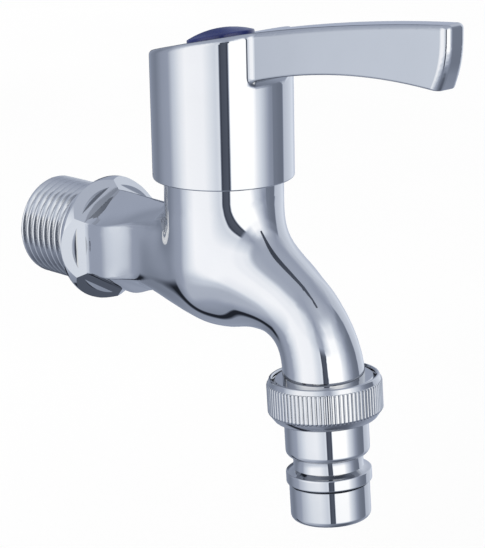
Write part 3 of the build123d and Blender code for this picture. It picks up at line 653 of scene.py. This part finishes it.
low_tones = (
    (-180, .54), (-166, .50), (-130, .46), (-110, .56), (-94, .61), (-86, .70), (-70, .76),
    (-50, .80), (-20, .78), (-4, .72), (-3, .22), (0, .34), (8, .36), (10.5, .20), (12, .80),
    (45, .78), (70, .62), (95, .46), (112, .44), (116, .66), (150, .72), (180, .54))
middle_tones = (
    (-180, .56), (-176, .30), (-170, .30), (-166, .54), (-150, .50), (-130, .48), (-110, .58),
    (-94, .61), (-86, .75), (-78, .82), (-70, .89), (-60, .95), (-30, .94), (-20, .88), (-10, .82),
    (-3.5, .86), (-2.5, .16), (0, .30), (8, .33), (10.5, .15), (12, 1.0), (50, 1.0), (58, .88),
    (70, .74), (80, .58), (90, .48), (100, .44), (112, .42), (115, .72), (150, .80), (180, .56))
high_tones = (
    (-180, .56), (-176, .36), (-170, .36), (-166, .54), (-130, .52), (-110, .60), (-86, .74),
    (-70, .86), (-60, .92), (-30, .92), (-10, .78), (-1, .66), (8, .62), (16, .80), (30, .98),
    (50, .97), (70, .74), (90, .53), (112, .46), (115, .72), (150, .78), (180, .56))
rows = (
    (-80, ((-180, .44), (-100, .50), (-60, .54), (30, .40), (80, .31), (150, .31), (180, .44))),
    (-70, ((-180, .46), (-100, .52), (-60, .56), (-20, .52), (30, .42), (80, .36), (150, .36),
           (180, .46))),
    (-56, ((-180, .56), (-112, .54), (-100, .56), (-50, .62), (-10, .50), (30, .32), (60, .32),
           (90, .48), (180, .56))),
    (-42, ((-180, .56), (-140, .52), (-110, .56), (-90, .68), (-40, .68), (0, .48), (40, .36),
           (60, .38), (80, .48), (130, .56), (180, .56))),
    (-32, ((-180, .52), (-140, .46), (-110, .52), (-90, .68), (-50, .70), (-10, .58), (5, .48),
           (20, .54), (60, .56), (90, .48), (130, .58), (180, .52))),
    (-24, low_tones),
    (-15, middle_tones),
    (15, middle_tones),
    (23, high_tones),
    (29, high_tones),
    (38, ((-180, .60), (-120, .62), (-80, .78), (-60, .88), (-30, .90), (-10, .76), (4, .59),
          (16, .72), (30, .90), (55, .88), (75, .72), (100, .58), (135, .74), (180, .60))),
    (52, ((-180, .62), (-60, .70), (0, .62), (45, .72), (100, .60), (180, .62))),
    (70, ((-180, .62), (0, .64), (180, .62))),
)
world = bpy.data.worlds.new("studio")
bpy.context.scene.world = world
world.use_nodes = True
tree = world.node_tree
tree.nodes.clear()
direction = add_node(tree, "ShaderNodeTexCoord").outputs["Generated"]
turned = add_node(tree, "ShaderNodeMapping", {"vector_type": "POINT"},
                  {"Rotation": (0, 0, -camera_azimuth)}, {"Vector": direction})
axes = add_node(tree, "ShaderNodeSeparateXYZ", links={"Vector": turned.outputs["Vector"]})
toward = add_node(tree, "ShaderNodeMath", {"operation": "MULTIPLY"}, {1: -1.0},
                  {0: axes.outputs["Y"]})
around = add_node(tree, "ShaderNodeMath", {"operation": "ARCTAN2"},
                  links={0: axes.outputs["X"], 1: toward.outputs[0]})
bearing = add_node(tree, "ShaderNodeMapRange", values={"From Min": -pi, "From Max": pi},
                   links={"Value": around.outputs[0]})
raised = add_node(tree, "ShaderNodeMath", {"operation": "ARCSINE"}, links={0: axes.outputs["Z"]})


def row_of(tones):
    """The studio's tones all round, at one height."""
    ramp = add_node(tree, "ShaderNodeValToRGB", links={"Fac": bearing.outputs["Result"]})
    set_stops(ramp, [((angle + 180) / 360, tone) for angle, tone in tones])
    return ramp.outputs["Color"]


level = row_of(rows[0][1])
for (lower, _), (upper, tones) in zip(rows, rows[1:]):
    share = add_node(tree, "ShaderNodeMapRange", {"interpolation_type": "SMOOTHSTEP"},
                     {"From Min": radians(lower), "From Max": radians(upper)},
                     {"Value": raised.outputs[0]})
    mix = add_node(tree, "ShaderNodeMix", {"data_type": "RGBA"},
                   links={0: share.outputs["Result"], 6: level, 7: row_of(tones)})
    level = mix.outputs[2]

# The table's dark edge, low behind the tap, which the chrome draws as a thin line along every
# underside. It fades out towards the horizon and to the right.
behind = Vector((0, cos(camera_height), -sin(camera_height)))
away = add_node(tree, "ShaderNodeVectorMath", {"operation": "DOT_PRODUCT"}, {1: behind},
                {0: turned.outputs["Vector"]})
edge = add_node(tree, "ShaderNodeValToRGB", links={"Fac": away.outputs["Value"]})
set_stops(edge, ((0.45, 0.0), (0.50, 0.75), (0.59, 0.75), (0.63, 0.35), (0.67, 0.0)))
below = add_node(tree, "ShaderNodeMapRange", {"interpolation_type": "SMOOTHSTEP"},
                 {"From Min": -0.38, "From Max": -0.50}, {"Value": axes.outputs["Z"]})
to_left = add_node(tree, "ShaderNodeMapRange", {"interpolation_type": "SMOOTHSTEP"},
                   {"From Min": 0.35, "From Max": 0.10}, {"Value": axes.outputs["X"]})
edge_low = add_node(tree, "ShaderNodeMath", {"operation": "MULTIPLY"},
                    links={0: edge.outputs["Color"], 1: below.outputs["Result"]})
edge_left = add_node(tree, "ShaderNodeMath", {"operation": "MULTIPLY"},
                     links={0: edge_low.outputs[0], 1: to_left.outputs["Result"]})
kept = add_node(tree, "ShaderNodeMath", {"operation": "SUBTRACT"}, {0: 1.0},
                {1: edge_left.outputs[0]})
level = add_node(tree, "ShaderNodeMath", {"operation": "MULTIPLY"},
                 links={0: level, 1: kept.outputs[0]})
# The greys are a little blue, most in the middle
cool_greys = add_node(tree, "ShaderNodeValToRGB", links={"Fac": level.outputs[0]})
set_stops(cool_greys, (
    (0.0, "#000000"), (0.15, "#20242C"), (0.25, "#3A3F4A"), (0.37, "#575D6A"), (0.5, "#767D8C"),
    (0.61, "#9299A9"), (0.7, "#AAB0BD"), (0.79, "#C3C9D4"), (0.87, "#DADEE5"), (0.94, "#EEEFF3"),
    (1.0, "#FFFFFF")))
# Only what the chrome mirrors is the studio. The page behind and the plain light are even white.
seen_in_chrome = add_node(tree, "ShaderNodeBackground", values={"Strength": 1 / chrome_return},
                          links={"Color": cool_greys.outputs["Color"]})
even = add_node(tree, "ShaderNodeBackground", values={"Color": (1, 1, 1, 1), "Strength": 1.0})
rays = add_node(tree, "ShaderNodeLightPath")
mirrored = add_node(tree, "ShaderNodeMath", {"operation": "MAXIMUM"},
                    links={0: rays.outputs["Is Glossy Ray"], 1: rays.outputs["Is Transmission Ray"]})
light = add_node(tree, "ShaderNodeMixShader",
                 links={0: mirrored.outputs[0], 1: even.outputs[0], 2: seen_in_chrome.outputs[0]})
add_node(tree, "ShaderNodeOutputWorld", links={"Surface": light.outputs[0]})

# Floor: a wide white board well below the tap, which hangs in the air as it does in the photograph.
# The chrome doesn't mirror it, because the studio's own floor stands for it.
floor_drop = 160 * mm
floor_half = 3.0
floor_mesh = bpy.data.meshes.new("studio_floor")
floor_build = bmesh.new()
bmesh.ops.create_grid(floor_build, x_segments=1, y_segments=1, size=floor_half)
bmesh.ops.translate(floor_build, verts=floor_build.verts, vec=(0, 0, -floor_drop))
floor_build.to_mesh(floor_mesh)
floor_build.free()
floor = bpy.data.objects.new("studio_floor", floor_mesh)
bpy.context.scene.collection.objects.link(floor)
floor.visible_glossy = False
floor.visible_transmission = False
# White board: matt and even
white_board = surface_of("white_board", "#FDFDFD", "#FFFFFF", patch_mm=400, smooth=0.9, rough=1.0,
                         grain_mm=5.0, grain_high_mm=0.0)
white_board.node_tree.nodes["Principled BSDF"].inputs["Specular IOR Level"].default_value = 0.0
floor_mesh.materials.append(white_board)

# Camera: a long lens from the front right, a little above the tap.
camera_data = bpy.data.cameras.new("camera")
camera_data.sensor_width = 36.0
camera_data.lens = 139.58
camera_data.clip_start = 0.01
camera = bpy.data.objects.new("camera", camera_data)
bpy.context.scene.collection.objects.link(camera)
backwards = Vector((sin(camera_azimuth) * cos(camera_height),
                    -cos(camera_azimuth) * cos(camera_height), sin(camera_height)))
camera.matrix_world = (Matrix.Translation(camera_target + backwards * camera_distance)
                       @ Matrix.Rotation(camera_azimuth, 4, "Z")
                       @ Matrix.Rotation(pi / 2 - camera_height, 4, "X")
                       @ Matrix.Rotation(camera_roll, 4, "Z"))
bpy.context.scene.camera = camera
bpy.context.scene.view_settings.view_transform = "Standard"
